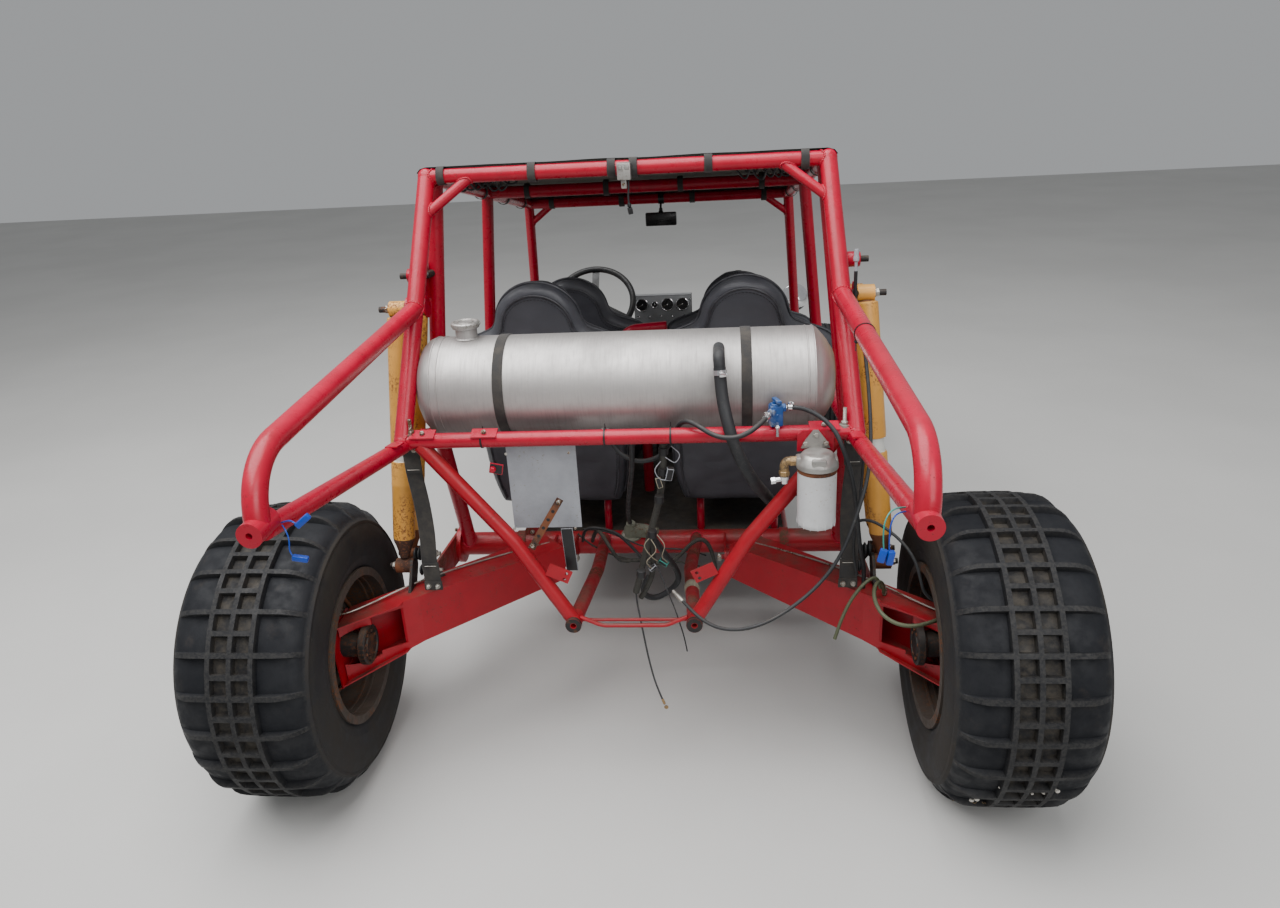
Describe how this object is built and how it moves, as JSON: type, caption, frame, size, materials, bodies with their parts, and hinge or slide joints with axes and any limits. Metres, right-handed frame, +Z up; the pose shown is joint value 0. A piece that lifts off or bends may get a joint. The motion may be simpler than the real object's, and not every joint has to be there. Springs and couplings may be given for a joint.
{
  "type": "sand rail dune buggy without engine",
  "caption": "Open red tube-frame dune buggy with high-back bucket seats, drum fuel tank, boxed trailing arms and wide sand tyres; the engine bay behind the tank is empty.",
  "frame": {"origin": "on the ground, under the middle of the length and width", "axes": "+Y forward, +X to the vehicle's right, +Z up"},
  "size_m": [2.149, 3.455, 1.5836],
  "materials": {
    "red_paint": "sun-faded gloss red with chips and rust",
    "black_steel": "black paint, oily and rusty",
    "yellow_shock": "faded yellow paint with rust bleeding through",
    "tank_aluminium": "dull spun aluminium",
    "webbing": "black nylon webbing",
    "filter_white": "white enamel, rusty at the crimp",
    "bare_alloy": "dull cast and sheet alloy",
    "canvas": "black coated canvas, tan underneath",
    "seat_vinyl": "charcoal vinyl with piping",
    "dash_grey": "grey painted sheet",
    "gauge_black": "black bezels and dial faces",
    "wheel_black": "black grip foam",
    "chrome": "dusty chrome plate",
    "blue_valve": "blue anodised alloy",
    "rim_rust": "worn paint over brown rust",
    "hose_rubber": "dusty black rubber hose and cable",
    "olive_hose": "olive brown hose",
    "tyre": "weathered black sand tyre rubber"
  },
  "bodies": {
    "chassis": {"rear_down_tubes": "red_paint", "roof_side_rails": "red_paint", "roof_cross_bars": "red_paint", "main_hoop": "red_paint", "side_tubes": "red_paint", "pillars": "red_paint", "rear_cross_tubes": "red_paint", "loop_lower_tubes": "red_paint", "loop_upper_tubes": "red_paint", "cradle_tubes": "red_paint", "torsion_housing": "red_paint", "frame_horns": "red_paint", "lower_rails": "red_paint", "nose_tubes": "red_paint", "trailing_arms": "red_paint", "seat_tubes": "red_paint", "front_beam": "black_steel", "axle_carriers": "black_steel", "spring_plates": "black_steel", "front_arms": "black_steel", "steering_rack": "black_steel", "shock_pins": "black_steel", "cab_controls": "black_steel", "shocks": "yellow_shock", "fuel_tank": "tank_aluminium", "filler_cap": "tank_aluminium", "floor_pan": "tank_aluminium", "straps": "webbing", "oil_filter": "filter_white", "filter_head": "bare_alloy", "roof_light": "bare_alloy", "blank_plate": "bare_alloy", "canopy": "canvas", "seat_backs": "seat_vinyl", "seat_cushions": "seat_vinyl", "seat_wings": "seat_vinyl", "dash_panel": "dash_grey", "cab_mirror": "gauge_black", "headlamps": "chrome", "fuel_valve": "blue_valve", "vent_hose": "hose_rubber", "fuel_hose_left": "hose_rubber", "fuel_hose_right": "hose_rubber", "long_cable": "hose_rubber", "loom": "hose_rubber", "earth_cable": "hose_rubber", "light_wire": "hose_rubber", "brake_hose": "olive_hose"},
    "knuckle_left": {"knuckle_left": "black_steel"},
    "knuckle_right": {"knuckle_right": "black_steel"},
    "rack_bar": {"tie_rods": "black_steel"},
    "steering_column": {"steering_wheel": "wheel_black"},
    "wheel_rear_left": {"rim_rear_left": "rim_rust", "tyre_rear_left": "tyre"},
    "wheel_rear_right": {"rim_rear_right": "rim_rust", "tyre_rear_right": "tyre"},
    "wheel_front_left": {"rim_front_left": "rim_rust", "tyre_front_left": "tyre"},
    "wheel_front_right": {"rim_front_right": "rim_rust", "tyre_front_right": "tyre"}
  },
  "joints": [
    {"name": "steer_left", "type": "hinge", "parent": "chassis", "child": "knuckle_left", "pos_m": [-0.595, 1.4225, 0.32], "axis": [0, 0, 1], "range_deg": [-30, 30]},
    {"name": "steer_right", "type": "hinge", "parent": "chassis", "child": "knuckle_right", "pos_m": [0.595, 1.4225, 0.32], "axis": [0, 0, 1], "range_deg": [-30, 30]},
    {"name": "rack_slide", "type": "slide", "parent": "chassis", "child": "rack_bar", "axis": [1, 0, 0], "range_m": [-0.06, 0.06]},
    {"name": "steering_wheel_turn", "type": "hinge", "parent": "chassis", "child": "steering_column", "pos_m": [-0.293, 0.7725, 0.901], "axis": [0, -0.7227, 0.6912], "range_deg": [-270, 270]},
    {"name": "spin_rear_left", "type": "hinge", "parent": "chassis", "child": "wheel_rear_left", "pos_m": [-0.901, -1.0275, 0.387], "axis": [1, 0, 0], "continuous": true},
    {"name": "spin_front_left", "type": "hinge", "parent": "knuckle_left", "child": "wheel_front_left", "pos_m": [-0.745, 1.4225, 0.305], "axis": [1, 0, 0], "continuous": true},
    {"name": "spin_rear_right", "type": "hinge", "parent": "chassis", "child": "wheel_rear_right", "pos_m": [0.901, -1.0275, 0.387], "axis": [1, 0, 0], "continuous": true},
    {"name": "spin_front_right", "type": "hinge", "parent": "knuckle_right", "child": "wheel_front_right", "pos_m": [0.745, 1.4225, 0.305], "axis": [1, 0, 0], "continuous": true}
  ],
  "couplings": [
    {"joint": "steer_right", "follows": "steer_left", "ratio": 1},
    {"joint": "rack_slide", "follows": "steer_left", "m_per_rad": 0.11},
    {"joint": "steering_wheel_turn", "follows": "steer_left", "ratio": 9}
  ]
}
